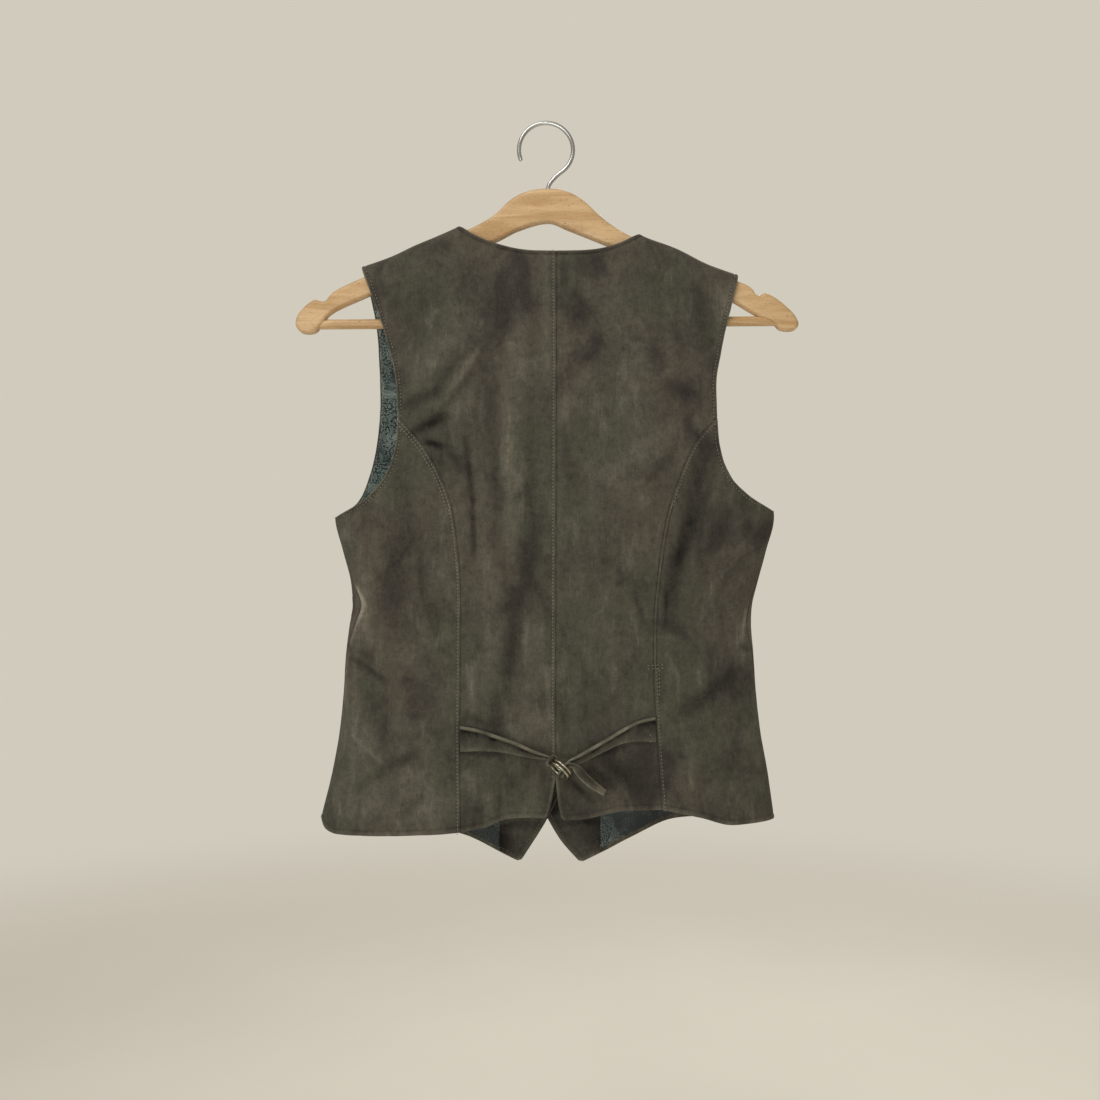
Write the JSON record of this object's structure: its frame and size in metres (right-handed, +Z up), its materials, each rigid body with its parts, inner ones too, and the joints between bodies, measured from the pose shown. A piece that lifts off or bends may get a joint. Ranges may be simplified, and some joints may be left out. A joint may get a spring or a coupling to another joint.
{
  "type": "leather vest on a wooden hanger",
  "caption": "Fitted suede vest with princess seams, a back cinch and a pointed lined front, hanging on a notched wooden trouser-bar hanger.",
  "frame": {"origin": "inside top of the hanger's hook, where a rail passes", "axes": "+Z up, -Y towards the vest's back, +X towards the wearer's right"},
  "size_m": [0.461, 0.1016, 0.6911],
  "materials": {
    "suede": "matte suede nap",
    "facing": "matte suede nap",
    "lining": "woven print, slight sheen",
    "cinch_metal": "polished, pale",
    "button": "dark horn, satin",
    "hanger_wood": "clear satin lacquer",
    "hook_steel": "plated, satin"
  },
  "bodies": {
    "root": {"back_centre_left": "suede", "back_centre_right": "suede", "back_side_left": "suede", "back_side_right": "suede", "front_left": "suede", "front_right": "suede", "facing_front_left": "facing", "facing_front_right": "facing", "lining_front_left": "lining", "lining_front_right": "lining", "tie_left": "suede", "tie_right": "suede", "tie_loop": "suede", "cinch_ring_1": "cinch_metal", "cinch_ring_2": "cinch_metal", "button_1": "button", "button_2": "button", "button_3": "button", "button_4": "button", "hanger_body": "hanger_wood", "hanger_bar": "hanger_wood", "hanger_hook": "hook_steel"}
  },
  "joints": []
}
